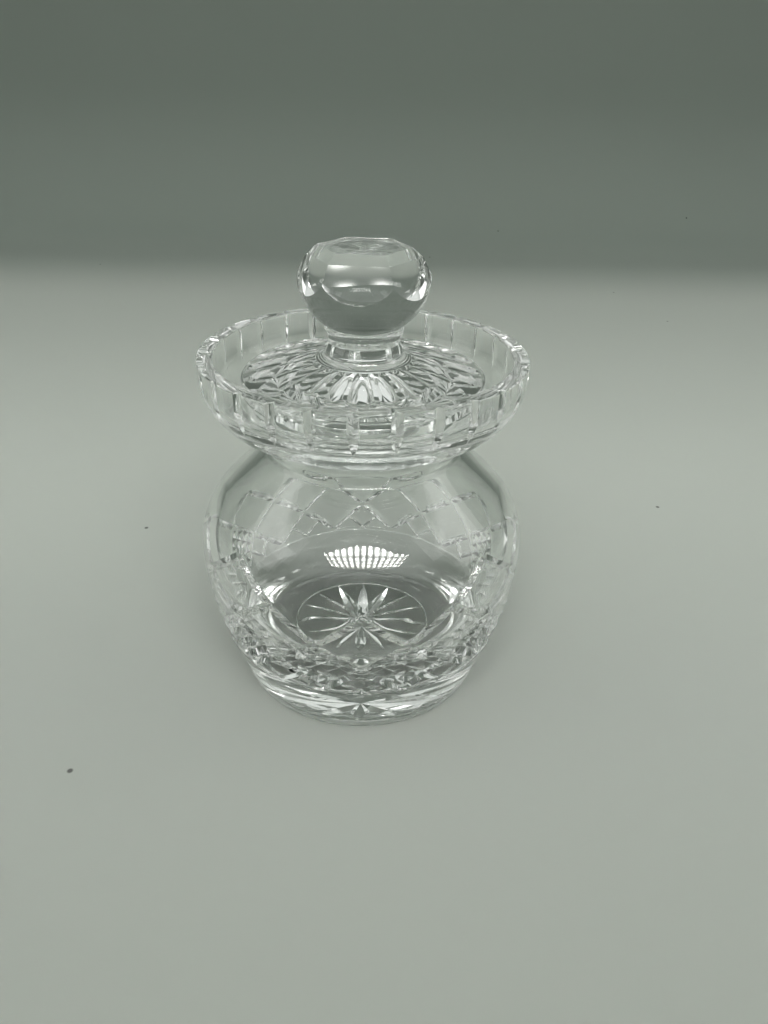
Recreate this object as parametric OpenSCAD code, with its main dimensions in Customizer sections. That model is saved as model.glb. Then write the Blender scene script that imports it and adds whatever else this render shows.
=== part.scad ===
// Cut-crystal powder jar with a lift-off lid.
// Millimetres, +Z up. The origin is the centre of the face that the jar stands on.

/* [Jar] */
// Outer diameter of the flared rim
rim_d = 96; // [90:1:100]
// Height of the rim above the table
rim_h = 111; // [109:1:116]
// Largest diameter of the belly
belly_d = 103.4; // [100:0.2:106]
// Height of the widest part of the belly
belly_h = 49.5; // [48:0.5:51]
// Diameter of the face that the jar stands on
foot_d = 77; // [74:1:79]
// Height of the plain band above the foot
foot_band_h = 20.5; // [18:0.5:22]
// Outer diameter of the waist between belly and collar
waist_d = 59.6; // [59:0.2:61]
// Thickness of the glass in the belly and the rim
wall = 4.6; // [4:0.1:5]
// Thickness of the glass under the powder
floor_t = 14.5; // [12:0.5:18]

/* [Cuts] */
// Number of mitre cuts round the rim
rim_cuts = 28; // [12:2:30]
// Depth of a rim cut at the top of the rim
rim_cut_depth = 1.4; // [0.8:0.1:2]
// Width of a rim cut at the top of the rim
rim_cut_width = 3.4; // [2:0.1:4]
// Length of a rim cut down the collar
rim_cut_length = 12; // [8:1:14]
// Number of flutes cut across the lid
lid_flutes = 20; // [12:1:24]
// Depth of a flute at the edge of the lid
flute_depth = 1.5; // [0.5:0.1:2]

/* [Lid] */
// Diameter of the lid's plate
lid_d = 72; // [68:1:74]
// Thickness of the plate at its edge
lid_edge_t = 6.4; // [5:0.1:7]
// Height of the plate's crown above its edge
lid_crown = 4.5; // [3:0.5:5]
// Clearance between the lid's ring and the throat, on the radius
ring_clearance = 0.5; // [0.3:0.1:1]
// Height of the ring that keeps the lid central
ring_h = 6; // [4:1:8]

/* [Knob] */
// Largest diameter of the knob before it is faceted
knob_d = 37.6; // [34:0.2:39]
// Height of the knob and its stem
knob_h = 31.4; // [30:0.2:33]
// Width across the flats of the table on top of the knob
table_d = 22.8; // [18:0.2:24]
// Height of the bevels round the table
bevel_h = 2.4; // [1.5:0.1:3]
// Diameter of the stem where it is narrowest
stem_d = 21; // [19:0.5:23]
// Number of flat facets round the knob
knob_facets = 6; // [5:1:8]
// Lean of a facet from upright, in degrees
facet_lean = 25; // [20:1:28]

/* [Hidden] */
$fn = 96;

glass = [0.80, 0.84, 0.82, 0.45];
eps = 0.01;
arc_steps = 10;

// Jar outline
rim_r = rim_d / 2;
belly_r = belly_d / 2;
foot_r = foot_d / 2;
heel = 2;
lower_r = 89.4;
shoulder_r = 26.5;
waist_r = waist_d / 2;
waist_fillet = 5;
collar_r = 18;
rim_round = 0.8;
star_recess_r = 27;
star_recess = 0.8;

// Inside of the jar
throat_r = 25.2;
seat_corner = 6;
seat_r = rim_r - wall - seat_corner;
seat_h = rim_h - 13;
throat_edge = 1;
cavity_floor_r = 20;

// Lid and knob
lid_r = lid_d / 2;
seat_gap = 0.05;
plate_h = seat_h + seat_gap;
boss_r = 13.2;
boss_h = plate_h + lid_edge_t + lid_crown;
ring_r = throat_r - ring_clearance;
ring_t = 4.2;
edge_round = 0.8;
flute_r = 7;
flute_start_r = 15;
flute_end_gap = 1.6;
knob_r = knob_d / 2;
stem_r = stem_d / 2;
ball_half_h = 16.8;
ball_h = knob_h - 7.9;
ball_top = asin((knob_h - ball_h) / ball_half_h);
facet_depth = 15;

// The bevels start where the facets end, and rise to the table
bevel_low = knob_h - bevel_h;
bevel_low_r = (facet_depth - (bevel_low - ball_h) * sin(facet_lean)) / cos(facet_lean);
bevel_lean = atan((bevel_low_r - table_d / 2) / bevel_h);
bevel_depth = bevel_low_r * cos(bevel_lean) + (bevel_low - ball_h) * sin(bevel_lean);

// How far each set of cuts is turned from +X, in degrees; the front of the jar is -Y
rim_cut_turn = -92.9;
flute_turn = -91.5;
facet_turn = -96;

// Points of an arc in the outline plane, centre [r, h], from angle a to angle b
function arc(r, h, radius, a, b, n = arc_steps) =
    [for (i = [0:n]) let (t = a + (b - a) * i / n) [r + radius * cos(t), h + radius * sin(t)]];

// The same for an ellipse of half width rx and half height rz
function ellipse_arc(r, h, rx, rz, a, b, n = arc_steps) =
    [for (i = [0:n]) let (t = a + (b - a) * i / n) [r + rx * cos(t), h + rz * sin(t)]];

// Radius of the lower belly at height h
function lower_belly(h) = belly_r - lower_r + sqrt(pow(lower_r, 2) - pow(belly_h - h, 2));

// The 45 degree slope from the shoulder to the waist is the line radius + height = slope_sum
slope_sum = belly_r - shoulder_r + belly_h + shoulder_r * sqrt(2);
waist_c = [waist_r + waist_fillet, slope_sum - waist_r - waist_fillet + waist_fillet * sqrt(2)];
collar_c_r = rim_r - collar_r;
collar_c_h = waist_c[1] + sqrt(pow(collar_r + waist_fillet, 2) - pow(waist_c[0] - collar_c_r, 2));
collar_turn = atan2(waist_c[1] - collar_c_h, waist_c[0] - collar_c_r);

// Outer radius of the collar at height h
function collar_at(h) = collar_c_r + sqrt(pow(collar_r, 2) - pow(collar_c_h - min(h, collar_c_h), 2));

function jar_outline() = concat(
    [[0, star_recess], [star_recess_r, star_recess], [star_recess_r + star_recess, 0], [foot_r, 0]],
    arc(foot_r, heel, heel, -60, -10, 4),
    [for (i = [0:8]) let (h = foot_band_h + (belly_h - foot_band_h) * i / 9) [lower_belly(h), h]],
    arc(belly_r - shoulder_r, belly_h, shoulder_r, 0, 45),
    arc(waist_c[0], waist_c[1], waist_fillet, 225, 180 + collar_turn, 8),
    arc(collar_c_r, collar_c_h, collar_r, collar_turn + 6, 0, 12),
    arc(rim_r - rim_round, rim_h - rim_round, rim_round, 0, 90, 3),
    arc(rim_r - wall + rim_round, rim_h - rim_round, rim_round, 90, 180, 3),
    arc(seat_r, seat_h + seat_corner, seat_corner, 0, -90, 6),
    [[throat_r + throat_edge, seat_h], [throat_r, seat_h - throat_edge]],
    arc(throat_r + waist_fillet, waist_c[1] - 2, waist_fillet, 180, 225, 4),
    arc(belly_r - shoulder_r, belly_h, shoulder_r - wall, 45, 0, 8),
    ellipse_arc(cavity_floor_r, belly_h, belly_r - wall - cavity_floor_r, belly_h - floor_t, 0, -90, 14),
    [[0, floor_t]]
);

// A mitre cutter: a V-shaped bar, deepest at the rim, whose edge leaves the collar lower down
module rim_cutter() {
    half = rim_cut_depth + 2;
    flank = rim_cut_width / 2 / rim_cut_depth;
    run_out = collar_at(rim_h - rim_cut_length);
    lean = atan((run_out - rim_r + rim_cut_depth) / rim_cut_length);
    translate([rim_r - rim_cut_depth, 0, rim_h])
        rotate([0, -lean, 0])
            translate([0, 0, -rim_cut_length])
                linear_extrude(height = rim_cut_length + 4)
                    polygon([[0, 0], [half, -half * flank], [half, half * flank]]);
}

module jar() {
    color(glass)
        difference() {
            rotate_extrude($fn = 180) polygon(jar_outline());
            for (i = [0:rim_cuts - 1])
                rotate([0, 0, rim_cut_turn + 360 / rim_cuts * i]) rim_cutter();
        }
}

// A round-nosed flute along a radius, rising towards the boss
module flute_cutter() {
    run = lid_r - flute_end_gap - flute_start_r;
    climb = atan(lid_crown / (lid_r - boss_r) + flute_depth / run);
    translate([lid_r - flute_end_gap, 0, plate_h + lid_edge_t - flute_depth + flute_r])
        rotate([0, -90 + climb, 0])
            cylinder(r = flute_r, h = run, $fn = 48);
}

module lid_plate() {
    crown_slope = (lid_crown - edge_round / 2) / (lid_r - edge_round - boss_r);
    rotate_extrude($fn = 180)
        polygon(concat(
            [[0, plate_h], [lid_r - edge_round, plate_h]],
            arc(lid_r - edge_round, plate_h + edge_round, edge_round, -60, 0, 2),
            arc(lid_r - edge_round, plate_h + lid_edge_t - edge_round, edge_round, 0, 60, 2),
            [for (i = [1:6]) let (r = lid_r - edge_round - (lid_r - edge_round - boss_r) * i / 6)
                [r, boss_h - crown_slope * (r - boss_r) * (0.8 + 0.2 * i / 6)]],
            [[0, boss_h]]
        ));
}

module lid_ring() {
    translate([0, 0, plate_h - ring_h])
        rotate_extrude($fn = 180)
            polygon([
                [ring_r - ring_t, 0], [ring_r - 0.8, 0], [ring_r, 0.8],
                [ring_r, ring_h + eps], [ring_r - ring_t, ring_h + eps]
            ]);
}

module lid() {
    color(glass) {
        difference() {
            lid_plate();
            for (i = [0:lid_flutes - 1])
                rotate([0, 0, flute_turn + 360 / lid_flutes * i]) flute_cutter();
        }
        lid_ring();
    }
}

// Outline of the turned knob before its facets are cut, from the foot to the table
function knob_outline() = concat(
    [[0, 0], [boss_r - 0.2, 0]],
    arc(boss_r + 1.1, 3.1, 3, 250, 180, 5),
    [[stem_r, 5.1], [stem_r + 0.5, 8.4], [stem_r + 0.8, 9.2], [stem_r + 0.3, 9.6]],
    ellipse_arc(0, ball_h, knob_r, ball_half_h, -50, ball_top, 20),
    [[0, knob_h]]
);

// Everything outside one plane that leans back by an angle and stands off from the ball's centre
module facet_cutter(lean, stand_off) {
    block = knob_d * 2;
    translate([0, 0, ball_h])
        rotate([0, -lean, 0])
            translate([stand_off, -block / 2, -block / 2])
                cube(block);
}

module knob() {
    color(glass)
        translate([0, 0, boss_h])
            difference() {
                rotate_extrude($fn = 120) polygon(knob_outline());
                for (i = [0:knob_facets - 1])
                    rotate([0, 0, facet_turn + 360 / knob_facets * i]) {
                        facet_cutter(facet_lean, facet_depth);
                        facet_cutter(bevel_lean, bevel_depth);
                    }
            }
}

jar();
lid();
knob();
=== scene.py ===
"""A cut-crystal powder jar and its lift-off lid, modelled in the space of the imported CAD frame.

Lengths in the shape classes are millimetres and become metres when a mesh is made.
Azimuths are degrees from the jar's front, which is -Y, towards +X.
"""

import logging
from dataclasses import dataclass, field
from enum import Enum

import bmesh
import bpy
import numpy as np
import numpy.typing as npt
from mathutils import Matrix, Vector

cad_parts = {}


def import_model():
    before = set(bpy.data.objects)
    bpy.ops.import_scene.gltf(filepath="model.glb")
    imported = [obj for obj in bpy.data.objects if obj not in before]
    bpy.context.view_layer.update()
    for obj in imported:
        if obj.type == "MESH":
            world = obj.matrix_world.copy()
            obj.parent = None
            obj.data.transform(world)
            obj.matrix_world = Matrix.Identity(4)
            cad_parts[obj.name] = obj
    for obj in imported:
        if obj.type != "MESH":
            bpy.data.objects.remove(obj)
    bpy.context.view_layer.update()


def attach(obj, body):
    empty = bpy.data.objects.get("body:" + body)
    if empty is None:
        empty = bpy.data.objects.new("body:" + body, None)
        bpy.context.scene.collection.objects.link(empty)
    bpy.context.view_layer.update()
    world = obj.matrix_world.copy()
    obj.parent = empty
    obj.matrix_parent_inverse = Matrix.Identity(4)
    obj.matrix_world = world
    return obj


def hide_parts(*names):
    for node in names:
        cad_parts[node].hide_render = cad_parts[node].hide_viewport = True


Floats = npt.NDArray[np.float64]
Ints = npt.NDArray[np.int64]

LOG = logging.getLogger("powder_jar")
MM = 0.001
# Edges between faces that turn by more than this angle, in degrees, stay sharp
CREASE = 17.0


class Join(Enum):
    """How a new ring of points is joined to the last one."""

    COLUMN = "point to point, where both rings have the same columns"
    AZIMUTH = "zipped in order of azimuth, where the columns differ"


class Slot(Enum):
    """The material slots."""

    JAR = "jar_crystal"
    LID = "lid_crystal"


# ---------------------------------------------------------------- outlines and meshes


def arc(r: float, h: float, radius: float, start: float, end: float, steps: int, tall: float = 0.0) -> Floats:
    """Points of an arc in the outline plane.

    Args:
        r: Distance of the arc's centre from the axis.
        h: Height of the centre.
        radius: Radius, or the half width of an ellipse.
        start: First angle in degrees, 0 pointing away from the axis and 90 up.
        end: Last angle.
        steps: Number of segments.
        tall: Half height of an ellipse, or 0 for a circle.

    Returns:
        An array of [radius, height] rows.
    """
    t = np.radians(np.linspace(start, end, steps + 1))
    return np.stack((r + radius * np.cos(t), h + (tall or radius) * np.sin(t)), axis=1)


def line(a: tuple[float, float], b: tuple[float, float], steps: int) -> Floats:
    """Points of a straight stretch of outline from a to b, both included."""
    s = np.linspace(0.0, 1.0, steps + 1)[:, None]
    return np.asarray(a) * (1 - s) + np.asarray(b) * s


def polar(azimuth: Floats, radius: Floats, height: Floats) -> Floats:
    """Cartesian points from azimuth, radius and height arrays of one shape."""
    t = np.radians(azimuth)
    return np.stack((radius * np.sin(t), -radius * np.cos(t), height), axis=-1).reshape(-1, 3)


def spread(inner: Floats, half_pitch: Floats, inside: int, outside: int) -> Floats:
    """Columns of one sector that follow the edges of a cut along its middle.

    Args:
        inner: Half width of the cut in each row, in any unit.
        half_pitch: Half width of the sector in each row, in the same unit.
        inside: Segments from the middle of the cut to its edge.
        outside: Segments from that edge to the sector's edge.

    Returns:
        A row for each entry of inner: signed offsets from the sector's middle, the last edge left out.
    """
    cut = inner[:, None] * np.linspace(0.0, 1.0, inside + 1)[None]
    rest = inner[:, None] + (half_pitch - inner)[:, None] * np.linspace(0.0, 1.0, outside + 1)[None, 1:]
    half = np.concatenate((cut, rest), axis=1)
    return np.concatenate((-half[:, :0:-1], half[:, :-1]), axis=1)


def around(offsets: Floats, sectors: int, turn: float) -> Floats:
    """Repeats one sector's columns of azimuth offsets round the whole circle, row by row."""
    middles = turn + 360.0 / sectors * np.arange(sectors)
    return (middles[None, :, None] + offsets[:, None, :]).reshape(len(offsets), -1)


class Shell:
    """A closed surface built as rings of points from one pole to the other."""

    def __init__(self) -> None:
        """Starts with no points and no ring to join to."""
        self._points: list[Floats] = []
        self._faces: list[Ints] = []
        self._count = 0
        self._ring: Ints | None = None
        self._azimuth: Floats | None = None
        self._waiting_pole: int | None = None

    def add(self, points: Floats) -> Ints:
        """Adds points.

        Args:
            points: Rows of x, y and z in millimetres.

        Returns:
            The new points' numbers.
        """
        ids = np.arange(len(points)) + self._count
        self._points.append(points)
        self._count += len(points)
        return ids

    def pole(self, height: float) -> None:
        """Closes the surface on the axis, at its start or at its end.

        Args:
            height: Height of the point on the axis.
        """
        tip = int(self.add(np.array([[0.0, 0.0, height]]))[0])
        if self._ring is None:
            self._waiting_pole = tip
        else:
            self._fan(self._ring, tip)

    def _fan(self, ring: Ints, tip: int) -> None:
        """Joins each pair of neighbours on a ring to one point."""
        self._faces.append(np.stack((ring, np.roll(ring, -1), np.full(len(ring), tip)), axis=1))

    def _zip(self, ring: Ints, azimuth: Floats) -> None:
        """Joins the last ring to one with other columns.

        The points of both rings are put in order of azimuth. Each makes one triangle with the point before it
        on its own ring and the nearest point before it on the other ring.

        Args:
            ring: Numbers of the new ring's points.
            azimuth: Their azimuths.
        """
        sort_a, sort_b = np.argsort(self._azimuth % 360), np.argsort(azimuth % 360)
        a, b = self._ring[sort_a], ring[sort_b]
        both = np.concatenate((self._azimuth[sort_a] % 360, azimuth[sort_b] % 360))
        from_a = np.argsort(both, kind="stable") < len(a)
        from_b = ~from_a
        at_a, at_b = np.cumsum(from_a) - 1, np.cumsum(from_b) - 1
        # Place -1 is a ring's last point, which closes the ring
        step_a, step_b = at_a[from_a], at_b[from_b]
        self._faces.append(np.stack((a[step_a - 1], a[step_a], b[at_b[from_a]]), axis=1))
        self._faces.append(np.stack((b[step_b], b[step_b - 1], a[at_a[from_b]]), axis=1))

    def attach(
        self, first: Ints, first_azimuth: Floats, last: Ints, last_azimuth: Floats, join: Join
    ) -> None:
        """Joins a patch's first ring to the surface so far and goes on from its last ring.

        Args:
            first: Numbers of the points on the patch's first ring.
            first_azimuth: Their azimuths.
            last: Numbers of the points on its last ring.
            last_azimuth: Their azimuths.
            join: How the first ring is joined to the surface so far.
        """
        if self._waiting_pole is not None and self._ring is None:
            self._fan(first, self._waiting_pole)
        elif self._ring is not None and join is Join.AZIMUTH:
            self._zip(first, first_azimuth)
        elif self._ring is not None:
            self._faces.append(self._band(self._ring, first))
        self._ring, self._azimuth = last, last_azimuth

    @staticmethod
    def _band(low: Ints, high: Ints) -> Ints:
        """Joins rings that have the same columns.

        Args:
            low: Point numbers, one ring to a row.
            high: Point numbers of the ring that follows each of them.

        Returns:
            Two triangles for each column of each pair of rings.
        """
        low_next, high_next = np.roll(low, -1, axis=-1), np.roll(high, -1, axis=-1)
        first = np.stack((low, low_next, high_next), axis=-1).reshape(-1, 3)
        second = np.stack((low, high_next, high), axis=-1).reshape(-1, 3)
        return np.concatenate((first, second))

    def sheet(self, azimuth: Floats, radius: Floats, height: Floats, join: Join = Join.COLUMN) -> None:
        """Adds many rings at once. The three arrays are broadcast to one shape, one ring to a row.

        Args:
            azimuth: Azimuths in degrees.
            radius: Distances from the axis.
            height: Heights.
            join: How the first ring is joined to the surface so far.
        """
        azimuth, radius, height = np.broadcast_arrays(azimuth, radius, height)
        ids = self.add(polar(azimuth, radius, height)).reshape(azimuth.shape)
        self.attach(ids[0], azimuth[0], ids[-1], azimuth[-1], join)
        if len(ids) > 1:
            self._faces.append(self._band(ids[:-1], ids[1:]))

    def lathe(self, azimuth: Floats, outline: Floats, join: Join = Join.COLUMN) -> None:
        """Turns an outline round the axis on the given columns."""
        self.sheet(azimuth[None, :], outline[:, :1], outline[:, 1:], join)

    def faces(self, faces: Ints) -> None:
        """Adds ready-made triangles."""
        self._faces.append(faces)

    def build(self, name: str, crease: float) -> bpy.types.Object:
        """Makes the mesh object, in metres, faces outward.

        Args:
            name: Name of the object and its mesh.
            crease: Angle in degrees above which an edge between faces stays sharp.

        Returns:
            The object, linked to the scene.
        """
        points, faces = np.concatenate(self._points) * MM, np.concatenate(self._faces)
        mesh = bpy.data.meshes.new(name)
        mesh.from_pydata(points.tolist(), [], faces.tolist())
        work = bmesh.new()
        work.from_mesh(mesh)
        bmesh.ops.dissolve_degenerate(work, dist=1e-7, edges=work.edges)
        bmesh.ops.triangulate(work, faces=[f for f in work.faces if len(f.verts) > 3])
        bmesh.ops.recalc_face_normals(work, faces=work.faces)
        open_edges = sum(1 for e in work.edges if len(e.link_faces) != 2)
        volume = work.calc_volume(signed=True)
        if volume < 0:
            bmesh.ops.reverse_faces(work, faces=work.faces)
        work.to_mesh(mesh)
        work.free()
        mesh.shade_smooth()
        mesh.set_sharp_from_angle(angle=np.radians(crease))
        piece = bpy.data.objects.new(name, mesh)
        bpy.context.scene.collection.objects.link(piece)
        cm3 = abs(volume) * 1e6
        LOG.info("%s: %d triangles, %d open edges, %.1f cm3", name, len(mesh.polygons), open_edges, cm3)
        return piece


# ---------------------------------------------------------------- the jar


@dataclass(frozen=True)
class TileCuts:
    """The lattice of mitre cuts round the belly, in tiles that stand on their corners.

    Along a tile's two edge directions u and v, azimuth = across * (u - v) and
    height = low + rise * (u + v - 1), so whole numbers of u and v are the mitre lines.

    A cut's half width mitre_edge and its run_on past the last tile are parts of a tile's edge, and fade is
    the part of its depth that it loses at a crossing. The swags are azimuths, from the front, of tiles in a
    third row. The pyramids are cut only nearer to the front than the azimuth hatched, with groove_pitch grid
    segments from groove to groove.
    """

    across: float = 15.0
    low: float = 22.0
    rise: float = 10.0
    rows: int = 4
    segments: int = 16
    mitre_edge: float = 0.08
    mitre_depth: float = 1.35
    fade: float = 0.85
    hatch_depth: float = 1.3
    tooth_depth: float = 0.6
    run_on: float = 0.17
    groove_pitch: int = 4
    swags: tuple[float, ...] = (45.0, 75.0)
    hatched: float = 120.0

    def knots(self) -> Floats:
        """Places of the grid lines across one tile from 0 to 1, alike seen from both ends."""
        inner = np.linspace(self.mitre_edge, 1 - self.mitre_edge, self.segments - 1)
        return np.concatenate(([0.0], inner))

    def has_tile(self, i: Ints, j: Ints) -> npt.NDArray[np.bool_]:
        """Tells which tiles are bordered by cuts.

        Args:
            i: Whole number of u at each tile's lowest corner.
            j: Whole number of v there.

        Returns:
            True in the two full rows and, in the row above them, for the tiles of the swags.
        """
        row = i + j
        azimuth = np.abs((self.across * (i - j) + 180) % 360 - 180)
        swag = np.isin(np.round(azimuth), self.swags)
        return (row == 1) | (row == 2) | ((row == 3) & swag)

    def mitre(self, across_line: Floats, along: Floats, swap: bool) -> Floats:
        """Depth of the mitre cuts of one direction.

        The depth falls in a straight line from the nearest mitre line to the cut's edge. Along the line it
        falls with the square of the distance from the middle between two crossings. Past the last bordered
        tile the cut runs on a little, getting shallower.

        Args:
            across_line: The coordinate that is a whole number on these mitre lines.
            along: The other coordinate.
            swap: Whether these are the lines of whole v, not of whole u.

        Returns:
            Depths in millimetres.
        """
        near = np.round(across_line).astype(int)
        flank = np.clip(1 - np.abs(across_line - near) / self.mitre_edge, 0.0, 1.0)
        start = np.floor(along + 1e-9).astype(int)
        into = along - start

        def bordered(step: Ints) -> npt.NDArray[np.bool_]:
            """Whether the tile on either side of the line is bordered at this step along it."""
            if swap:
                return self.has_tile(step, near - 1) | self.has_tile(step, near)
            return self.has_tile(near - 1, step) | self.has_tile(near, step)

        from_below = np.where(bordered(start - 1), 1 - into / self.run_on, 0.0)
        from_above = np.where(bordered(start + 1), 1 - (1 - into) / self.run_on, 0.0)
        strength = np.where(bordered(start), 1.0, np.clip(np.maximum(from_below, from_above), 0.0, 1.0))
        return self.mitre_depth * flank * strength * (1 - self.fade * (2 * into - 1) ** 2)

    def depth(self, u: Floats, v: Floats, k: Ints, m: Ints) -> Floats:
        """Depth of all cuts at the grid points.

        The lowest full row holds pyramids between V grooves: in each direction the depth is hatch_depth times
        (1 - distance to the nearest groove / half the pitch), and the deeper direction counts. Each half tile
        below them has a crossed pair of tooth cuts.

        Args:
            u: First tile coordinate.
            v: Second tile coordinate.
            k: Place of u among its tile's knots.
            m: Place of v among its tile's knots.

        Returns:
            Depths in millimetres.
        """
        main = np.maximum(self.mitre(u, v, False), self.mitre(v, u, True))
        n = self.segments
        i, j = np.floor(u + 1e-9).astype(int), np.floor(v + 1e-9).astype(int)
        row = i + j
        half = self.groove_pitch // 2
        to_k, to_m = (np.abs((place + half) % self.groove_pitch - half) / half for place in (k, m))
        on_edge = (k == 0) | (m == 0)
        facing = np.abs((self.across * (i - j) + 180) % 360 - 180) < self.hatched
        pyramid = self.hatch_depth * (1 - np.minimum(to_k, to_m))
        hatch = np.where((row == 1) & facing & ~on_edge, pyramid, 0.0)
        tooth = np.where((row == 0) & ((k == n // 2) | (m == n // 2)), self.tooth_depth, 0.0)
        return np.maximum(main, np.maximum(hatch, tooth))


@dataclass(frozen=True)
class RimCuts:
    """V-shaped cuts down the outside of the collar from the rim.

    In this class and the next ones, inside and outside are the grid segments from a cut's middle to its edge,
    and from there to the edge of its sector.
    """

    count: int = 28
    turn: float = -2.9
    depth: float = 1.75
    width: float = 3.2
    length: float = 12.0
    inside: int = 2
    outside: int = 5


@dataclass(frozen=True)
class StarCut:
    """The star of V cuts under the foot. A ray's depth is slope times its half width."""

    rays: int = 16
    turn: float = -1.5
    reach: float = 25.5
    half_width: float = 2.3
    slope: float = 0.75
    inside: int = 3
    outside: int = 3


@dataclass(frozen=True)
class JarSize:
    """The jar's outline."""

    rim_r: float = 48.0
    rim_h: float = 111.0
    wall: float = 4.6
    belly_r: float = 51.7
    belly_h: float = 49.5
    lower_r: float = 89.4
    shoulder_r: float = 26.5
    waist_r: float = 29.8
    fillet: float = 5.0
    collar_r: float = 18.0
    foot_r: float = 38.5
    heel: float = 2.0
    band_h: float = 20.5
    ring_half_h: float = 0.35
    ring_depth: float = 0.3
    recess: float = 0.8
    throat_r: float = 25.2
    seat_h: float = 98.0
    seat_corner: float = 6.0
    rim_round: float = 0.8
    floor_r: float = 20.0
    floor_h: float = 14.5
    inside_columns: int = 192
    tiles: TileCuts = field(default_factory=TileCuts)
    rim: RimCuts = field(default_factory=RimCuts)
    star: StarCut = field(default_factory=StarCut)


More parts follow.
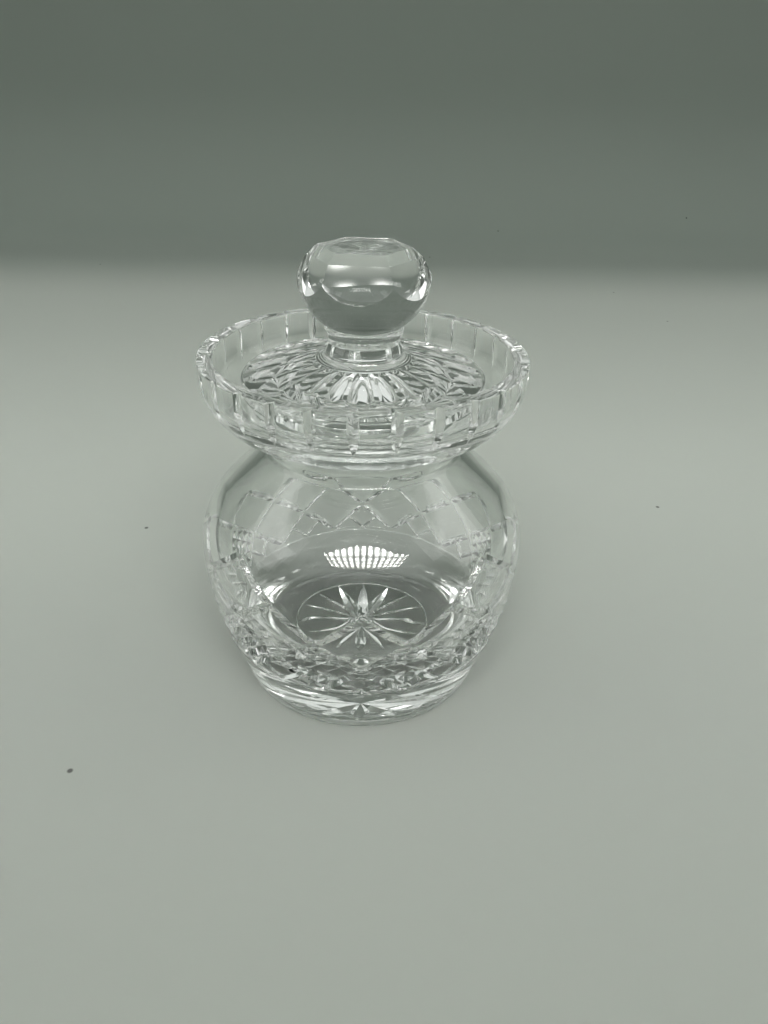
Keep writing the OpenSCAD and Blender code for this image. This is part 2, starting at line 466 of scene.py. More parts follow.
class Jar:
    """The jar in one closed piece: underside, foot, cut belly, waist, collar and the hollow inside."""

    def __init__(self, size: JarSize) -> None:
        """Works out the centres of the outline's arcs.

        The slope from the shoulder to the waist leans at 45 degrees, so radius + height is the same all
        along it.

        Args:
            size: The jar's sizes.
        """
        self.size = size
        s = size
        shoulder_c = s.belly_r - s.shoulder_r
        self.slope_sum = shoulder_c + s.belly_h + s.shoulder_r * np.sqrt(2)
        self.waist_c = (s.waist_r + s.fillet, self.slope_sum - s.waist_r - s.fillet + s.fillet * np.sqrt(2))
        self.collar_c_r = s.rim_r - s.collar_r
        reach = s.collar_r + s.fillet
        self.collar_c_h = self.waist_c[1] + np.sqrt(reach**2 - (self.waist_c[0] - self.collar_c_r) ** 2)
        self.shell = Shell()

    def belly(self, h: Floats) -> Floats:
        """Outer radius of the belly: a wide circle below the widest part and a small one above it.

        Args:
            h: Heights.

        Returns:
            Radii at those heights.
        """
        s = self.size
        low = s.belly_r - s.lower_r + np.sqrt(s.lower_r**2 - (s.belly_h - h) ** 2)
        gap = np.clip(s.shoulder_r**2 - (h - s.belly_h) ** 2, 0.0, None)
        return np.where(h < s.belly_h, low, s.belly_r - s.shoulder_r + np.sqrt(gap))

    def collar(self, h: Floats) -> Floats:
        """Outer radius of the collar: a circle that ends upright.

        Args:
            h: Heights.

        Returns:
            Radii at those heights.
        """
        drop = self.collar_c_h - np.minimum(h, self.collar_c_h)
        return self.collar_c_r + np.sqrt(self.size.collar_r**2 - drop**2)

    def underside(self) -> None:
        """The recess with its star.

        In each ray the depth is slope * (half width - distance from its middle), and the half width falls
        from the star's middle with the cube of the radius.
        """
        s, star = self.size, self.size.star
        r = np.concatenate(([0.8], np.linspace(2.0, star.reach - 1.2, 22), [star.reach - 0.4, star.reach]))
        half = star.half_width * np.clip(1 - (r / star.reach) ** 3, 0.0, 1.0)
        pitch = np.pi * r / star.rays
        in_ray = np.clip(half, 0.3, 0.8 * pitch.clip(0.4))
        offsets = spread(in_ray, pitch, star.inside, star.outside)
        depth = star.slope * np.clip(half[:, None] - np.abs(offsets), 0.0, None)
        azimuth = around(np.degrees(offsets / r[:, None]), star.rays, star.turn)
        height = np.tile(s.recess + depth, (1, star.rays))
        self.shell.pole(s.recess + star.slope * star.half_width)
        self.shell.sheet(azimuth, r[:, None], height)
        wall = np.array([[0.1, s.recess - 0.1], [s.recess, 0.05], [1.0, 0.0]]) + [star.reach, 0.0]
        self.shell.lathe(azimuth[-1], wall)

    def foot(self, azimuth: Floats) -> None:
        """The ground face, the heel and the plain band up to the ring line.

        Args:
            azimuth: Azimuths of the columns, which the lattice goes on from.
        """
        s = self.size
        face = line((s.star.reach + 1.6, 0.0), (s.foot_r - 0.3, 0.0), 2)
        heel = arc(s.foot_r, s.heel, s.heel, -84, -10, 6)
        ring = float(self.belly(np.array(s.band_h)))
        top = s.band_h + s.ring_half_h
        band = line(tuple(heel[-1]), (ring, s.band_h - s.ring_half_h), 6)[1:]
        groove = np.array([[ring - s.ring_depth, s.band_h], [float(self.belly(np.array(top))), top]])
        self.shell.lathe(azimuth, np.concatenate((face, heel, band, groove)), Join.AZIMUTH)

    def tile_grid(self) -> tuple[Floats, Floats, Floats]:
        """Lays out the belly's grid, whose lines follow every cut.

        A cut's depth is taken along the surface's normal, so it moves a point inward by
        depth / length and up by depth * slope / length, where slope is the radius's change with height.

        Returns:
            Azimuths, radii and heights, one ring to a row.
        """
        cuts = self.size.tiles
        n, turns = cuts.segments, int(round(180 / cuts.across))
        knots = cuts.knots()
        s, m = np.meshgrid(np.arange(n, (cuts.rows + 1) * n + 1), np.arange(turns * n), indexing="ij")
        d = 2 * m + s % 2
        a, b = (s + d) // 2, (s - d) // 2
        u, v = a // n + knots[a % n], b // n + knots[b % n]
        azimuth = cuts.across * (u - v)
        height = cuts.low + cuts.rise * (u + v - 1)
        depth = cuts.depth(u, v, a % n, b % n)
        step = 0.01
        slope = (self.belly(height + step) - self.belly(height - step)) / (2 * step)
        length = np.sqrt(1 + slope**2)
        return azimuth, self.belly(height) - depth / length, height + depth * slope / length

    def tile_band(self, grid: tuple[Floats, Floats, Floats]) -> None:
        """The belly's cut band. Each small square of the grid is split so that no cut's edge is crossed.

        Args:
            grid: Azimuths, radii and heights, one ring to a row.

        Raises:
            ValueError: If a tile has an odd number of segments, which the splitting can't follow.
        """
        if self.size.tiles.segments % 2:
            raise ValueError("a tile needs an even number of segments")
        azimuth, radius, height = grid
        ids = self.shell.add(polar(azimuth, radius, height)).reshape(azimuth.shape)
        faces: list[Ints] = []
        for start in (0, 1):
            low, mid, high = ids[start:-2:2], ids[start + 1 : -1 : 2], ids[start + 2 :: 2]
            rows = min(len(low), len(mid), len(high))
            low, mid, high = low[:rows], mid[:rows], high[:rows]
            if start == 0:
                right, left = mid, np.roll(mid, 1, axis=1)
                faces += [np.stack((low, right, high), -1), np.stack((low, high, left), -1)]
            else:
                right, left = np.roll(mid, -1, axis=1), mid
                faces += [np.stack((low, right, left), -1), np.stack((right, high, left), -1)]
        first_mid, first_high = ids[0], ids[1]
        faces.append(np.stack((np.roll(first_mid, -1), first_high, first_mid), -1)[None])
        last_low, last_mid = ids[-2], ids[-1]
        faces.append(np.stack((last_low, np.roll(last_mid, -1), last_mid), -1)[None])
        self.shell.attach(ids[0], azimuth[0], ids[-1], azimuth[-1], Join.COLUMN)
        self.shell.faces(np.concatenate([f.reshape(-1, 3) for f in faces]))

    def shoulder(self, azimuth: Floats) -> None:
        """From the tiles over the shoulder and the waist to the foot of the rim cuts.

        Args:
            azimuth: Azimuths of the lattice's last ring.
        """
        s, cuts = self.size, self.size.tiles
        top = cuts.low + cuts.rise * cuts.rows
        first = np.degrees(np.arcsin((top - s.belly_h) / s.shoulder_r))
        over = arc(s.belly_r - s.shoulder_r, s.belly_h, s.shoulder_r, first, 45, 6)[1:]
        turn = np.degrees(np.arctan2(self.waist_c[1] - self.collar_c_h, self.waist_c[0] - self.collar_c_r))
        waist = arc(self.waist_c[0], self.waist_c[1], s.fillet, 225, 180 + turn, 16)
        slope = line(tuple(over[-1]), tuple(waist[0]), 6)[1:-1]
        end = s.rim_h - s.rim.length - 3.5
        angle = np.degrees(np.arcsin((end - self.collar_c_h) / s.collar_r))
        flare = arc(self.collar_c_r, self.collar_c_h, s.collar_r, turn, angle, 12)[1:]
        self.shell.lathe(azimuth, np.concatenate((over, slope, waist, flare)))

    def rim(self) -> Floats:
        """The collar's cut outside and the rim's top face, with the cuts carried across it.

        A cut's edge runs straight from the rim, where it is deepest, down to the collar's surface. A cut ends
        sideways where edge radius + flank * x, squared, plus x squared is the collar's radius squared.

        Returns:
            The azimuths of the columns inside the rim.
        """
        s, cuts = self.size, self.size.rim
        run_out = s.rim_h - cuts.length
        h = np.linspace(run_out - 3.0, s.rim_h - 0.3, 22)
        outer = self.collar(h)
        low_r = float(self.collar(np.array(run_out)))
        edge_r = low_r + (s.rim_r - cuts.depth - low_r) * (h - run_out) / cuts.length
        edge_r = np.minimum(edge_r, outer)
        flank = 2 * cuts.depth / cuts.width
        square = 1 + flank**2
        half = (np.sqrt(square * outer**2 - edge_r**2) - flank * edge_r) / square
        pitch = np.pi * outer / cuts.count
        x = spread(np.maximum(half, 0.25), pitch, cuts.inside, cuts.outside)
        in_cut = np.abs(x) <= half[:, None] + 1e-9
        y = np.where(in_cut, edge_r[:, None] + flank * np.abs(x), 0.0)
        radius = np.where(in_cut, np.hypot(x, y), outer[:, None])
        offset = np.degrees(np.where(in_cut, np.arctan2(x, np.maximum(y, 1.0)), x / outer[:, None]))
        azimuth = around(offset, cuts.count, cuts.turn)
        radius = np.tile(radius, (1, cuts.count))
        self.shell.sheet(azimuth, radius, h[:, None], Join.AZIMUTH)
        top_az, top_r = azimuth[-1], radius[-1] - 0.3
        inner_r = s.rim_r - s.wall + s.rim_round
        half_sector = np.array([180 / cuts.count])
        even = spread(half_sector * 0.3, half_sector, cuts.inside, cuts.outside)
        even_az = around(even, cuts.count, cuts.turn)[0]
        f = np.array([0.0, 0.5, 1.0])[:, None]
        top_az, top_r = top_az * (1 - f) + even_az * f, top_r * (1 - f) + inner_r * f
        self.shell.sheet(top_az, top_r, np.full_like(f, s.rim_h))
        return even_az

    def inside(self, rim_azimuth: Floats, azimuth: Floats) -> None:
        """The bowl of the collar with the lid's seat, the throat, and the hollow down to the floor.

        Args:
            rim_azimuth: Azimuths of the rim's innermost ring, which the bowl goes on from.
            azimuth: Azimuths of the columns of the throat and the hollow.
        """
        s = self.size
        inner = s.rim_r - s.wall
        seat_c = inner - s.seat_corner
        bowl = np.concatenate(
            (
                arc(inner + s.rim_round, s.rim_h - s.rim_round, s.rim_round, 115, 180, 3),
                line((inner, s.rim_h - 1.5), (inner, s.seat_h + s.seat_corner), 3),
                arc(seat_c, s.seat_h + s.seat_corner, s.seat_corner, -7, -90, 10),
                line((seat_c - 2, s.seat_h), (s.throat_r + 1.2, s.seat_h), 3),
            )
        )
        self.shell.lathe(rim_azimuth, bowl)
        mouth = arc(s.throat_r + 1, s.seat_h - 1, 1, 90, 180, 4)
        low = self.waist_c[1] - 2
        bend = arc(s.throat_r + s.fillet, low, s.fillet, 180, 225, 5)
        dome = arc(s.belly_r - s.shoulder_r, s.belly_h, s.shoulder_r - s.wall, 45, 0, 12)
        slope = line(tuple(bend[-1]), tuple(dome[0]), 5)[1:-1]
        width = s.belly_r - s.wall - s.floor_r
        bowl_side = arc(s.floor_r, s.belly_h, width, 0, -90, 26, s.belly_h - s.floor_h)[1:]
        floor = line((s.floor_r - 2, s.floor_h), (1.0, s.floor_h), 4)
        throat = line((s.throat_r, s.seat_h - 2), (s.throat_r, low + 1), 3)
        outline = np.concatenate((mouth, throat, bend, slope, dome, bowl_side, floor))
        self.shell.lathe(azimuth, outline, Join.AZIMUTH)
        self.shell.pole(s.floor_h)

    def build(self) -> bpy.types.Object:
        """Makes the jar's mesh.

        Returns:
            The piece that stands for the CAD node jar.
        """
        grid = self.tile_grid()
        self.underside()
        self.foot(grid[0][0])
        self.tile_band(grid)
        self.shoulder(grid[0][-1])
        rim_azimuth = self.rim()
        self.inside(rim_azimuth, np.linspace(0, 360, self.size.inside_columns, endpoint=False))
        return self.shell.build("crystal_jar", CREASE)


# ---------------------------------------------------------------- the lid with its knob


@dataclass(frozen=True)
class FluteCuts:
    """Round-nosed flutes across the lid's crown.

    A flute's half width is the share fill of the distance from flute to flute, but no more than nose. Its
    round end lies between nose_r and nose_r + nose. Its depth grows from inner_depth to depth on the way out.
    """

    count: int = 20
    turn: float = -1.5
    depth: float = 1.5
    inner_depth: float = 0.5
    inner_r: float = 14.6
    nose_r: float = 30.1
    nose: float = 4.3
    fill: float = 0.43
    inside: int = 4
    outside: int = 2


@dataclass(frozen=True)
class KnobSize:
    """The turned and faceted knob; heights are above the lid's boss."""

    ball_r: float = 18.8
    ball_half_h: float = 16.8
    ball_h: float = 23.5
    height: float = 31.4
    table_r: float = 11.4
    bevel_h: float = 2.4
    stem_r: float = 10.5
    foot_r: float = 13.0
    facets: int = 6
    turn: float = -6.0
    facet_depth: float = 15.0
    lean: float = 25.0
    columns: int = 144


@dataclass(frozen=True)
class LidSize:
    """The lid's plate and the ring under it."""

    radius: float = 36.0
    low: float = 98.05
    edge: float = 6.4
    crown: float = 4.5
    boss_r: float = 13.2
    ring_r: float = 24.7
    ring_in: float = 20.5
    ring_h: float = 6.0
    edge_round: float = 0.8
    flutes: FluteCuts = field(default_factory=FluteCuts)
    knob: KnobSize = field(default_factory=KnobSize)


class Lid:
    """The lid and its knob as one closed piece of glass."""

    def __init__(self, size: LidSize) -> None:
        """Keeps the sizes and works out the height of the boss that the knob stands on."""
        self.size = size
        self.shell = Shell()
        self.boss_h = size.low + size.edge + size.crown

    def columns(self, inner: Floats, r: Floats) -> Floats:
        """Azimuths of the columns in each row.

        Args:
            inner: Half width of a flute in each row.
            r: Radius of each row.

        Returns:
            One row of azimuths for each radius.
        """
        f = self.size.flutes
        offsets = spread(inner, np.pi * r / f.count, f.inside, f.outside)
        return around(np.degrees(offsets / r[:, None]), f.count, f.turn)

    def underneath(self) -> Floats:
        """The lid's underside with its ring, out to the edge.

        Returns:
            The columns' azimuths.
        """
        s = self.size
        r = np.array([s.radius])
        azimuth = self.columns(r * np.pi / s.flutes.count * 0.6, r)[0]
        ring_low = s.low - s.ring_h
        ring = np.array(
            [
                [2.0, s.low], [s.ring_in - 1.0, s.low], [s.ring_in - 0.3, s.low - 0.1],
                [s.ring_in, s.low - 0.5], [s.ring_in, ring_low + 0.5], [s.ring_in + 0.2, ring_low + 0.1],
                [s.ring_in + 0.6, ring_low], [s.ring_r - 1.0, ring_low], [s.ring_r - 0.5, ring_low + 0.15],
                [s.ring_r - 0.1, ring_low + 0.6], [s.ring_r, ring_low + 1.2], [s.ring_r, s.low - 0.4],
                [s.ring_r + 0.15, s.low - 0.1], [s.ring_r + 0.5, s.low],
            ]
        )
        edge = np.concatenate(
            (
                line((s.ring_r + 3, s.low), (s.radius - 1.2, s.low), 2),
                arc(s.radius - s.edge_round, s.low + s.edge_round, s.edge_round, -80, 0, 4),
                arc(s.radius - s.edge_round, s.low + s.edge - s.edge_round, s.edge_round, 0, 45, 3),
            )
        )
        self.shell.pole(s.low)
        self.shell.lathe(azimuth, np.concatenate((ring, edge)))
        return azimuth

    def crown(self, edge_azimuth: Floats) -> None:
        """The fluted top. A flute's depth falls with the square of the distance from its middle line.

        Args:
            edge_azimuth: Azimuths of the edge's columns.
        """
        s, f = self.size, self.size.flutes
        tip = f.nose_r + f.nose
        r = np.concatenate(
            (
                [s.radius - 0.55, tip + 0.35],
                f.nose_r + f.nose * np.sin(np.radians([89.9, 80, 70, 58, 44, 30, 15])),
                np.linspace(f.nose_r, f.inner_r + 0.5, 16),
                [f.inner_r, f.inner_r - 0.6],
            )
        )
        past = np.clip((r - f.nose_r) / f.nose, 0.0, 1.0)
        body = np.minimum(f.fill * 2 * np.pi * r / f.count, f.nose)
        half = np.where(r > f.nose_r, f.nose * np.sqrt(1 - past**2), body)
        inner = np.maximum(half, 0.7)
        azimuth = self.columns(inner, r)
        azimuth[0] = edge_azimuth
        offsets = spread(inner, np.pi * r / f.count, f.inside, f.outside)
        grow = np.clip((r - f.inner_r) / (f.nose_r - f.inner_r), 0.0, 1.0)
        begin = np.clip((r - f.inner_r + 0.6) / 1.1, 0.0, 1.0)
        deepest = (f.inner_depth + (f.depth - f.inner_depth) * grow) * begin
        across = offsets / np.where(r > f.nose_r, f.nose, half)[:, None]
        cut = deepest[:, None] * np.clip(1 - across**2 - past[:, None] ** 2, 0.0, None)
        rise = np.clip((r - s.boss_r) / (s.radius - s.boss_r - 0.5), 0.0, 1.0) ** 1.3
        height = (self.boss_h - s.crown * rise)[:, None] - cut
        self.shell.sheet(azimuth, r[:, None], np.tile(height, (1, f.count)))

    def knob(self) -> None:
        """The stem, the ball with its facets, and the table.

        In each column the turned outline is followed up to where it meets the facet's plane, then the plane
        up to a level edge, then a flat bevel up to the table. A facet's plane holds the points where
        r * cos(azimuth from its middle) * cos(lean) + (height - ball height) * sin(lean) = depth.
        """
        k = self.size.knob
        azimuth = k.turn - 180 / k.facets + 360 / k.columns * np.arange(k.columns)
        foot = arc(self.size.boss_r + 1.1, 3.1, 3.0, 268, 180, 8)
        stem = np.array(
            [
                [k.stem_r, 5.1], [k.stem_r + 0.1, 6.2], [k.stem_r + 0.4, 7.8], [k.stem_r + 0.8, 8.6],
                [k.stem_r + 1.0, 9.0], [k.stem_r + 0.85, 9.5], [k.stem_r + 0.5, 9.75], [k.stem_r + 0.6, 9.95],
            ]
        )
        self.shell.lathe(azimuth, np.concatenate((foot, stem)) + [0, self.boss_h], Join.AZIMUTH)
        top_angle = float(np.degrees(np.arcsin((k.height - k.ball_h) / k.ball_half_h)))
        outline = arc(0, k.ball_h, k.ball_r, -50, top_angle, 200, k.ball_half_h)
        steps = np.arange(len(outline), dtype=float)
        sector = 360 / k.facets
        off = np.radians((azimuth - k.turn + sector / 2) % sector - sector / 2)
        lean = np.radians(k.lean)
        above = (
            outline[:, 0][:, None] * np.cos(off)[None] * np.cos(lean)
            + (outline[:, 1][:, None] - k.ball_h) * np.sin(lean)
            - k.facet_depth
        )
        enter, cols = np.argmax(above > 0, axis=0), np.arange(len(azimuth))
        enter_at = enter - above[enter, cols] / (above[enter, cols] - above[enter - 1, cols])
        follow = np.linspace(0, 1, 22)[:, None] * enter_at[None]
        ball_r, ball_h = np.interp(follow, steps, outline[:, 0]), np.interp(follow, steps, outline[:, 1])
        edge_h = k.height - k.bevel_h
        edge_r = (k.facet_depth - (edge_h - k.ball_h) * np.sin(lean)) / np.cos(lean) / np.cos(off)
        table_r = k.table_r / np.cos(off)
        s = np.linspace(0, 1, 7)[1:, None]
        facet_r, facet_h = ball_r[-1] * (1 - s) + edge_r * s, ball_h[-1] * (1 - s) + edge_h * s
        bevel_r = edge_r * (1 - s) + table_r * s
        bevel_h = np.broadcast_to(edge_h * (1 - s) + k.height * s, bevel_r.shape)
        radius = np.concatenate((ball_r, facet_r, bevel_r))
        height = np.concatenate((ball_h, facet_h, bevel_h))
        self.shell.sheet(azimuth[None], radius, height + self.boss_h)
        inward = np.array([0.75, 0.4, 0.1])[:, None]
        self.shell.sheet(azimuth[None], table_r * inward, np.full_like(inward, self.boss_h + k.height))
        self.shell.pole(self.boss_h + k.height)

    def build(self) -> bpy.types.Object:
        """Makes the lid's mesh.

        Returns:
            The piece that stands for the CAD nodes lid and knob.
        """
        self.crown(self.underneath())
        self.knob()
        return self.shell.build("crystal_lid", CREASE)


# ---------------------------------------------------------------- finishes


@dataclass(frozen=True)
class CrystalFinish:
    """Polished lead crystal, with faint waves from the polishing wheel, wave_height metres high."""

    name: str
    slot: Slot
    tint: tuple[float, float, float] = (0.985, 0.995, 0.988)
    ior: float = 1.55
    roughness: float = 0.0
    haze: float = 0.003
    wave_scale: float = 45.0
    wave: float = 0.15
    wave_height: float = 0.0004


@dataclass(frozen=True)
class SweepFinish:
    """Matte sweep behind and under the object: a pale floor that darkens into the wall.

    The floor's colour turns into the wall's along the turn, a stretch of Y in metres. Towards the front it
    carries a
    painted shadow: along the stretch shade the colour is darkened down to the share set for the front. Flecks
    keep the share fleck of the colour, lie about 1 / fleck_scale metres apart, and fade out over fleck_edge,
    in parts of that distance.
    """

    name: str = "sweep"
    floor: tuple[float, float, float] = (0.47, 0.50, 0.458)
    wall: tuple[float, float, float] = (0.24, 0.273, 0.244)
    turn: tuple[float, float] = (0.46, 0.70)
    # Painted shadow towards the front: the stretch of Y where it fades in, and the share of the colour left
    # at the front
    shade: tuple[float, float] = (-0.25, 0.20)
    painted_front_shadow: float = 0.47
    fleck: float = 0.25
    fleck_scale: float = 6.0
    fleck_edge: tuple[float, float] = (0.0035, 0.0065)
    roughness: float = 0.75
    specular: float = 0.25


def maths(nodes: bpy.types.Nodes, operation: str, *rest: float) -> bpy.types.Node:
    """A math node, with the values of its inputs after the first."""
    node = nodes.new("ShaderNodeMath")
    node.operation = operation
    for place_in_node, value in enumerate(rest, start=1):
        node.inputs[place_in_node].default_value = value
    return node


def carry_over(
    nodes: bpy.types.Nodes, source: tuple[float, float], target: tuple[float, float], smooth: bool
) -> bpy.types.Node:
    """A node that carries values from one range over to another.

    Args:
        nodes: The material's nodes.
        source: The range that comes in.
        target: The range that goes out.
        smooth: Whether the ends of the range are eased.

    Returns:
        The node.
    """
    node = nodes.new("ShaderNodeMapRange")
    if smooth:
        node.interpolation_type = "SMOOTHSTEP"
    node.inputs["From Min"].default_value, node.inputs["From Max"].default_value = source
    node.inputs["To Min"].default_value, node.inputs["To Max"].default_value = target
    return node


def darken(nodes: bpy.types.Nodes) -> bpy.types.Node:
    """A node that multiplies the colour A by B."""
    node = nodes.new("ShaderNodeMix")
    node.data_type = "RGBA"
    node.blend_type = "MULTIPLY"
    node.inputs["Factor"].default_value = 1.0
    return node


class NodeGroups:
    """Shared node groups, each made once."""

    haze_scale: float = 70.0
    haze_detail: float = 3.0
    wave_detail: float = 1.0

    @staticmethod
    def _new(name: str, outputs: dict[str, str], inputs: dict[str, float]) -> bpy.types.NodeTree:
        """Makes an empty group.

        Args:
            name: The group's name.
            outputs: Names and socket types of what it puts out.
            inputs: Names and starting values of the numbers that it takes.

        Returns:
            The group.
        """
        tree = bpy.data.node_groups.new(name, "ShaderNodeTree")
        for label, value in inputs.items():
            socket = tree.interface.new_socket(label, in_out="INPUT", socket_type="NodeSocketFloat")
            socket.default_value = value
        for label, kind in outputs.items():
            tree.interface.new_socket(label, in_out="OUTPUT", socket_type=kind)
        return tree

    @classmethod
    def polish(cls) -> bpy.types.NodeTree:
        """Hand polish: a roughness that wanders a little, and the height of faint waves in the surface.

        Roughness = base roughness + haze * noise.

        Returns:
            The group.
        """
        name = "hand_polish"
        if name in bpy.data.node_groups:
            return bpy.data.node_groups[name]
        tree = cls._new(
            name,
            {"Roughness": "NodeSocketFloat", "Height": "NodeSocketFloat"},
            {"Base Roughness": 0.0, "Haze": 0.03, "Wave Scale": 45.0},
        )
        nodes, links = tree.nodes, tree.links
        entry, leave = nodes.new("NodeGroupInput"), nodes.new("NodeGroupOutput")
        where = nodes.new("ShaderNodeTexCoord")
        haze = nodes.new("ShaderNodeTexNoise")
        haze.inputs["Scale"].default_value = cls.haze_scale
        haze.inputs["Detail"].default_value = cls.haze_detail
        spread_haze = maths(nodes, "MULTIPLY_ADD")
        wave = nodes.new("ShaderNodeTexNoise")
        wave.inputs["Detail"].default_value = cls.wave_detail
        links.new(where.outputs["Object"], haze.inputs["Vector"])
        links.new(where.outputs["Object"], wave.inputs["Vector"])
        links.new(entry.outputs["Wave Scale"], wave.inputs["Scale"])
        links.new(haze.outputs["Fac"], spread_haze.inputs[0])
        links.new(entry.outputs["Haze"], spread_haze.inputs[1])
        links.new(entry.outputs["Base Roughness"], spread_haze.inputs[2])
        links.new(spread_haze.outputs[0], leave.inputs["Roughness"])
        links.new(wave.outputs["Fac"], leave.inputs["Height"])
        return tree


def crystal(finish: CrystalFinish) -> bpy.types.Material:
    """A clear glass material with plain transmission and the shared hand polish.

    Args:
        finish: The glass's values.

    Returns:
        The material.
    """
    material = bpy.data.materials.new(finish.name)
    material.use_nodes = True
    nodes, links = material.node_tree.nodes, material.node_tree.links
    shader = nodes["Principled BSDF"]
    shader.inputs["Base Color"].default_value = (*finish.tint, 1.0)
    shader.inputs["Transmission Weight"].default_value = 1.0
    shader.inputs["IOR"].default_value = finish.ior
    polish = nodes.new("ShaderNodeGroup")
    polish.node_tree = NodeGroups.polish()
    polish.inputs["Base Roughness"].default_value = finish.roughness
    polish.inputs["Haze"].default_value = finish.haze
    polish.inputs["Wave Scale"].default_value = finish.wave_scale
    bump = nodes.new("ShaderNodeBump")
    bump.inputs["Strength"].default_value = finish.wave
    bump.inputs["Distance"].default_value = finish.wave_height
    links.new(polish.outputs["Roughness"], shader.inputs["Roughness"])
    links.new(polish.outputs["Height"], bump.inputs["Height"])
    links.new(bump.outputs["Normal"], shader.inputs["Normal"])
    LOG.info("finish %s for slot %s", finish.name, finish.slot.value)
    return material


def sweep_material(finish: SweepFinish) -> bpy.types.Material:
    """Matte floor paint with a few dark flecks and painted shadow at the front, darkening along +Y into the
    wall.

    Args:
        finish: The paint's values.

    Returns:
        The material.
    """
    material = bpy.data.materials.new(finish.name)
    material.use_nodes = True
    nodes, links = material.node_tree.nodes, material.node_tree.links
    shader = nodes["Principled BSDF"]
    shader.inputs["Roughness"].default_value = finish.roughness
    shader.inputs["Specular IOR Level"].default_value = finish.specular
    where, split = nodes.new("ShaderNodeTexCoord"), nodes.new("ShaderNodeSeparateXYZ")
    along = carry_over(nodes, finish.turn, (0.0, 1.0), True)
    paint = nodes.new("ShaderNodeMix")
    paint.data_type = "RGBA"
    paint.inputs["A"].default_value = (*finish.floor, 1.0)
    paint.inputs["B"].default_value = (*finish.wall, 1.0)
    # Painted shadow: the floor's colour is multiplied down towards the front, along -Y
    near, shaded = carry_over(nodes, finish.shade, (finish.painted_front_shadow, 1.0), True), darken(nodes)
    speck = nodes.new("ShaderNodeTexVoronoi")
    speck.voronoi_dimensions = "2D"
    speck.inputs["Scale"].default_value = finish.fleck_scale
    spot, flecked = carry_over(nodes, finish.fleck_edge, (finish.fleck, 1.0), False), darken(nodes)
    links.new(where.outputs["Object"], split.inputs[0])
    links.new(where.outputs["Object"], speck.inputs["Vector"])
    links.new(split.outputs["Y"], along.inputs["Value"])
    links.new(split.outputs["Y"], near.inputs["Value"])
    links.new(speck.outputs["Distance"], spot.inputs["Value"])
    links.new(along.outputs["Result"], paint.inputs["Factor"])
    links.new(paint.outputs["Result"], shaded.inputs["A"])
    links.new(near.outputs["Result"], shaded.inputs["B"])
    links.new(shaded.outputs["Result"], flecked.inputs["A"])
    links.new(spot.outputs["Result"], flecked.inputs["B"])
    links.new(flecked.outputs["Result"], shader.inputs["Base Color"])
    return material


# ---------------------------------------------------------------- stage, lights and camera


@dataclass(frozen=True)
class StageSize:
    """The sweep, in metres. Its floor lies a hair below the foot so that the two faces never coincide."""

    half_width: float = 1.6
    front: float = -1.2
    bend: float = 0.62
    bend_r: float = 0.16
    height: float = 1.3
    gap: float = 0.0002


@dataclass(frozen=True)
class PanelLight:
    """A flat light overhead, made of rows of small lamps.

    It spans from low to high in X and Y. Between its lamps it shines with gap, and in their middles with
    gap + glow.
    """

    low: tuple[float, float] = (-0.30, -0.74)
    high: tuple[float, float] = (0.38, -0.43)
    height: float = 0.67
    cells: tuple[float, float] = (13.0, 4.0)
    glow: float = 70.0
    gap: float = 1.2
    colour: tuple[float, float, float] = (1.0, 1.0, 0.97)


@dataclass(frozen=True)
class FillLight:
    """A soft rectangular light beside the jar."""

    name: str
    place: tuple[float, float, float]
    size: tuple[float, float] = (0.5, 0.5)
    watts: float = 1.0
    colour: tuple[float, float, float] = (1.0, 1.0, 0.98)


@dataclass(frozen=True)
class Surroundings:
    """What the glass mirrors beyond the sweep, dim up to the height low and bright from the height high.

    The heights are those of a direction's tip on a globe with a radius of 1.
    """

    low: float = 0.36
    low_colour: tuple[float, float, float] = (0.10, 0.115, 0.10)
    high: float = 0.74
    high_colour: tuple[float, float, float] = (0.92, 0.96, 0.92)
    strength: float = 0.88


@dataclass(frozen=True)
class CameraSet:
    """The camera: where it stands, its pitch below the horizon, its turn towards +X and its roll."""

    place: tuple[float, float, float] = (0.0, -0.21786, 0.18336)
    pitch: float = 30.22
    turn: float = 1.849
    roll: float = 1.398
    lens: float = 27.07


def plain_mesh(name: str, points: Floats, faces: list[tuple[int, ...]], smooth: bool) -> bpy.types.Object:
    """Makes a plain mesh object and links it to the scene.

    Args:
        name: Name of the object and its mesh.
        points: Rows of x, y and z in metres.
        faces: Point numbers of each face.
        smooth: Whether the faces are shaded smooth.

    Returns:
        The object.
    """
    mesh = bpy.data.meshes.new(name)
    mesh.from_pydata(points.tolist(), [], faces)
    if smooth:
        mesh.shade_smooth()
    piece = bpy.data.objects.new(name, mesh)
    bpy.context.scene.collection.objects.link(piece)
    return piece


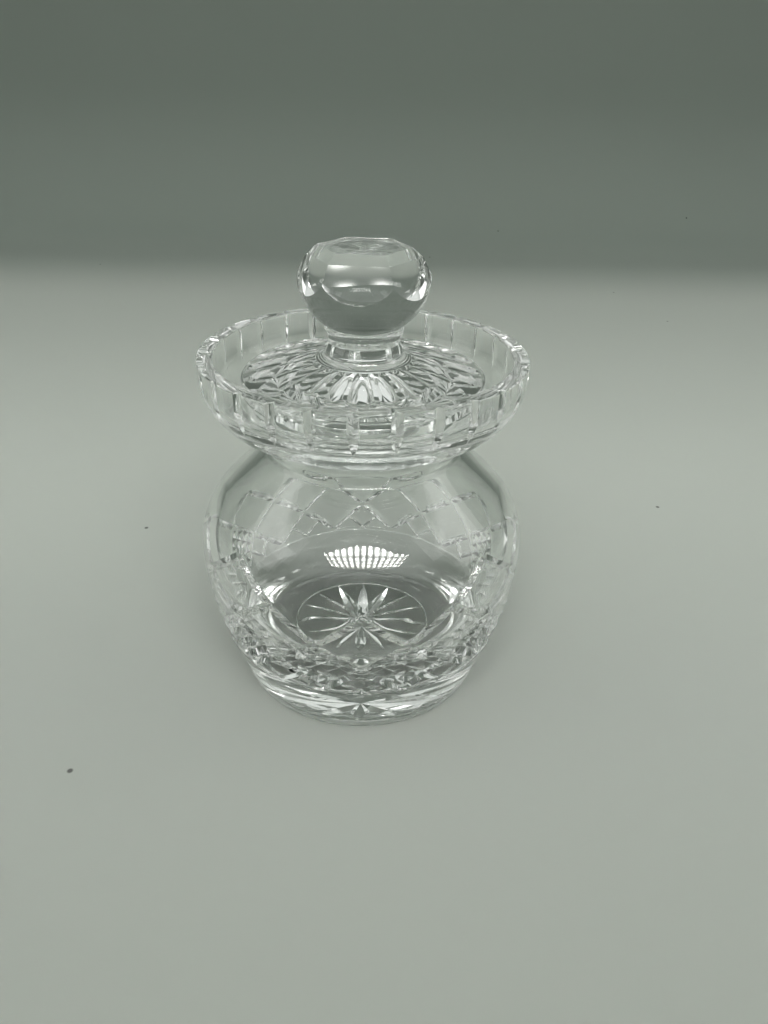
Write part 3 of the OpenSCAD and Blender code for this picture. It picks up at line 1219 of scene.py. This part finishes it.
class Studio:
    """Everything around the object: sweep, lights, surroundings and camera."""

    bounces: int = 40
    glossy_bounces: int = 32
    aim: tuple[float, float, float] = (0.0, 0.0, 0.06)

    def __init__(
        self,
        sweep: StageSize,
        panel: PanelLight,
        fills: tuple[FillLight, ...],
        surroundings: Surroundings,
        camera: CameraSet,
    ) -> None:
        """Keeps the sizes and values of everything in the studio."""
        self.sweep, self.panel, self.fills = sweep, panel, fills
        self.surroundings, self.camera = surroundings, camera

    def add_sweep(self) -> None:
        """A floor that bends up into a wall behind the object."""
        s = self.sweep
        t = np.radians(np.linspace(-90, 0, 13))
        bend = np.stack((s.bend + s.bend_r * np.cos(t), s.bend_r + s.bend_r * np.sin(t)), axis=1)
        flat = np.stack((np.linspace(s.front, s.bend, 14)[:-1], np.zeros(13)), axis=1)
        wall = np.array([[s.bend + s.bend_r, s.height]])
        side = np.concatenate((flat, bend, wall)) - [0.0, s.gap]
        left = np.column_stack((np.full(len(side), -s.half_width), side))
        right = np.column_stack((np.full(len(side), s.half_width), side))
        n = len(side)
        faces = [(i, i + n, i + n + 1, i + 1) for i in range(n - 1)]
        floor = plain_mesh("sweep", np.concatenate((left, right)), faces, True)
        floor.data.materials.append(sweep_material(SweepFinish()))
        LOG.info("sweep: %d faces", len(faces))

    def add_panel(self) -> None:
        """The overhead panel, whose rows of lamps show in the glass.

        A place shines with gap + glow * (product of a sine wave along X and one along Y, each from 0 to 1)
        squared.
        """
        p = self.panel
        (x0, y0), (x1, y1) = p.low, p.high
        points = np.array([[x0, y0, p.height], [x0, y1, p.height], [x1, y1, p.height], [x1, y0, p.height]])
        plane = plain_mesh("lamp_panel", points, [(0, 1, 2, 3)], False)
        material = bpy.data.materials.new("lamp_panel")
        material.use_nodes = True
        nodes, links = material.node_tree.nodes, material.node_tree.links
        nodes.remove(nodes["Principled BSDF"])
        glow = nodes.new("ShaderNodeEmission")
        where = nodes.new("ShaderNodeTexCoord")
        split = nodes.new("ShaderNodeSeparateXYZ")
        links.new(where.outputs["Object"], split.inputs[0])
        waves = []
        for axis, cells, span in (("X", p.cells[0], x1 - x0), ("Y", p.cells[1], y1 - y0)):
            scale = maths(nodes, "MULTIPLY", cells * 2 * np.pi / span)
            wave = maths(nodes, "SINE")
            lift = maths(nodes, "MULTIPLY_ADD", 0.5, 0.5)
            links.new(split.outputs[axis], scale.inputs[0])
            links.new(scale.outputs[0], wave.inputs[0])
            links.new(wave.outputs[0], lift.inputs[0])
            waves.append(lift)
        both, sharp = maths(nodes, "MULTIPLY"), maths(nodes, "POWER", 2.0)
        power = maths(nodes, "MULTIPLY_ADD", p.glow, p.gap)
        links.new(waves[0].outputs[0], both.inputs[0])
        links.new(waves[1].outputs[0], both.inputs[1])
        links.new(both.outputs[0], sharp.inputs[0])
        links.new(sharp.outputs[0], power.inputs[0])
        links.new(power.outputs[0], glow.inputs["Strength"])
        glow.inputs["Color"].default_value = (*p.colour, 1.0)
        links.new(glow.outputs[0], nodes["Material Output"].inputs["Surface"])
        plane.data.materials.append(material)
        plane.visible_camera = False
        LOG.info("lamp panel at %.2f m", p.height)

    def add_fill(self, fill: FillLight) -> None:
        """A soft rectangular light that points at the jar.

        Args:
            fill: The light's place, size and power.
        """
        data = bpy.data.lights.new(fill.name, "AREA")
        data.shape = "RECTANGLE"
        data.size, data.size_y = fill.size
        data.energy = fill.watts
        data.color = fill.colour
        lamp = bpy.data.objects.new(fill.name, data)
        lamp.location = fill.place
        lamp.rotation_euler = (Vector(self.aim) - Vector(fill.place)).to_track_quat("-Z", "Y").to_euler()
        bpy.context.scene.collection.objects.link(lamp)
        LOG.info("light %s: %.1f W", fill.name, fill.watts)

    def add_world(self) -> None:
        """Grey-green surroundings, dim near the horizon and bright overhead."""
        around_it = self.surroundings
        world = bpy.data.worlds.new("surroundings")
        world.use_nodes = True
        nodes, links = world.node_tree.nodes, world.node_tree.links
        back = nodes["Background"]
        where, split = nodes.new("ShaderNodeTexCoord"), nodes.new("ShaderNodeSeparateXYZ")
        ramp = nodes.new("ShaderNodeValToRGB")
        dim, bright = ramp.color_ramp.elements
        dim.position, dim.color = around_it.low, (*around_it.low_colour, 1.0)
        bright.position, bright.color = around_it.high, (*around_it.high_colour, 1.0)
        links.new(where.outputs["Generated"], split.inputs[0])
        links.new(split.outputs["Z"], ramp.inputs["Fac"])
        links.new(ramp.outputs["Color"], back.inputs["Color"])
        back.inputs["Strength"].default_value = around_it.strength
        bpy.context.scene.world = world

    def add_camera(self) -> None:
        """The camera that the main picture is taken with."""
        c = self.camera
        pitch, turn, roll = np.radians([c.pitch, c.turn, c.roll])
        ahead = np.array([np.sin(turn) * np.cos(pitch), np.cos(turn) * np.cos(pitch), -np.sin(pitch)])
        level = np.array([np.cos(turn), -np.sin(turn), 0.0])
        upright = np.cross(level, ahead)
        right = np.cos(roll) * level + np.sin(roll) * upright
        up = -np.sin(roll) * level + np.cos(roll) * upright
        data = bpy.data.cameras.new("camera")
        data.lens = c.lens
        data.sensor_width = 36.0
        data.clip_start, data.clip_end = 0.01, 20.0
        camera = bpy.data.objects.new("camera", data)
        camera.matrix_world = Matrix(
            [[right[i], up[i], -ahead[i], c.place[i]] for i in range(3)] + [[0.0, 0.0, 0.0, 1.0]]
        )
        bpy.context.scene.collection.objects.link(camera)
        bpy.context.scene.camera = camera

    def build(self) -> None:
        """Sets up the whole studio."""
        self.add_sweep()
        self.add_panel()
        for fill in self.fills:
            self.add_fill(fill)
        self.add_world()
        self.add_camera()
        cycles = bpy.context.scene.cycles
        cycles.max_bounces = cycles.transmission_bounces = self.bounces
        cycles.glossy_bounces = self.glossy_bounces
        view = bpy.context.scene.view_settings
        view.view_transform = "Standard"
        view.look = "None"
        view.exposure = 0.0


# ---------------------------------------------------------------- the whole scene


def place(piece: bpy.types.Object, body: str, nodes: tuple[str, ...], finish: CrystalFinish) -> None:
    """Dresses a piece and sets what it rides on.

    Args:
        piece: The piece.
        body: The body that carries it.
        nodes: The CAD nodes that it stands for.
        finish: Its finish, which also names its slot.
    """
    piece.data.materials.append(crystal(finish))
    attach(piece, body)
    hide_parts(*nodes)


def main() -> None:
    """Loads the frame, builds the glass around it, then the studio."""
    logging.basicConfig(level=logging.INFO, format="%(name)s: %(message)s")
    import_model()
    place(Jar(JarSize()).build(), "jar", ("jar",), CrystalFinish("jar_crystal", Slot.JAR))
    place(Lid(LidSize()).build(), "lid", ("lid", "knob"), CrystalFinish("lid_crystal", Slot.LID))
    fills = (FillLight("left_fill", (-0.75, -0.15, 0.42)), FillLight("right_fill", (0.75, -0.05, 0.42)))
    Studio(StageSize(), PanelLight(), fills, Surroundings(), CameraSet()).build()
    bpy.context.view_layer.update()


if __name__ == "__main__":
    main()
